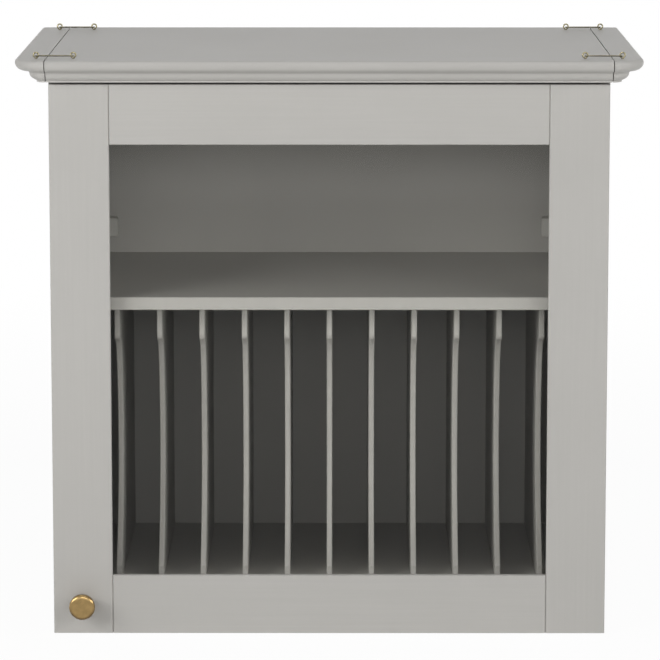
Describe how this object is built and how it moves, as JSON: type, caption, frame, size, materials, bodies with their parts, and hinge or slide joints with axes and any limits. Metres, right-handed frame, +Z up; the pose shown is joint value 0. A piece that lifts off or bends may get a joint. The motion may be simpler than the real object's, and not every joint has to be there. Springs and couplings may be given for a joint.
{
  "type": "kitchen wall cabinet",
  "caption": "Painted wall cabinet with a glazed framed door on brass hinges, a shelf above a plate rack, and a moulded cornice whose boards are tied by brass rods.",
  "frame": {"origin": "centre of the rear face of the upper rear rail, on the wall plane", "axes": "+Z up, +Y into the wall, so the door faces -Y; +X to the viewer's right, the hinge side"},
  "size_m": [0.668, 0.427, 0.6322],
  "materials": {
    "grey_paint": "painted, satin",
    "brass": "satin",
    "zinc_steel": "zinc plated",
    "clear_glass": "clear",
    "soft_bumper": "translucent, soft",
    "catch_plastic": "moulded"
  },
  "bodies": {
    "cabinet": {"back_panel": "grey_paint", "bottom_panel": "grey_paint", "corner_block_left": "grey_paint", "corner_block_right": "grey_paint", "cornice_centre": "grey_paint", "cornice_end_left": "grey_paint", "cornice_end_right": "grey_paint", "hinge_lower_cabinet_leaf": "brass", "hinge_lower_pin": "brass", "hinge_upper_cabinet_leaf": "brass", "hinge_upper_pin": "brass", "magnetic_catch": "catch_plastic", "plate_divider_01": "grey_paint", "plate_divider_02": "grey_paint", "plate_divider_03": "grey_paint", "plate_divider_04": "grey_paint", "plate_divider_05": "grey_paint", "plate_divider_06": "grey_paint", "plate_divider_07": "grey_paint", "plate_divider_08": "grey_paint", "plate_divider_09": "grey_paint", "plate_divider_10": "grey_paint", "plate_divider_11": "grey_paint", "rack_base": "grey_paint", "rear_rail_bottom": "grey_paint", "rear_rail_top": "grey_paint", "screw_eye_left_back_inner": "brass", "screw_eye_left_back_outer": "brass", "screw_eye_left_front_inner": "brass", "screw_eye_left_front_outer": "brass", "screw_eye_right_back_inner": "brass", "screw_eye_right_back_outer": "brass", "screw_eye_right_front_inner": "brass", "screw_eye_right_front_outer": "brass", "shelf": "grey_paint", "side_panel_left": "grey_paint", "side_panel_right": "grey_paint", "tie_rod_left_back": "brass", "tie_rod_left_front": "brass", "tie_rod_right_back": "brass", "tie_rod_right_front": "brass", "top_panel": "grey_paint"},
    "door": {"catch_strike_plate": "zinc_steel", "door_bumper_bottom": "soft_bumper", "door_bumper_top": "soft_bumper", "door_rail_bottom": "grey_paint", "door_rail_top": "grey_paint", "door_stile_left": "grey_paint", "door_stile_right": "grey_paint", "glass_pane": "clear_glass", "glazing_bead_bottom": "grey_paint", "glazing_bead_left": "grey_paint", "glazing_bead_right": "grey_paint", "glazing_bead_top": "grey_paint", "hinge_lower_door_leaf": "brass", "hinge_upper_door_leaf": "brass", "knob": "brass", "knob_screw": "zinc_steel"}
  },
  "joints": [
    {"name": "door_swing", "type": "hinge", "parent": "cabinet", "child": "door", "pos_m": [0.294, -0.3765, 0], "axis": [0, 0, 1], "range_deg": [0, 100]}
  ]
}
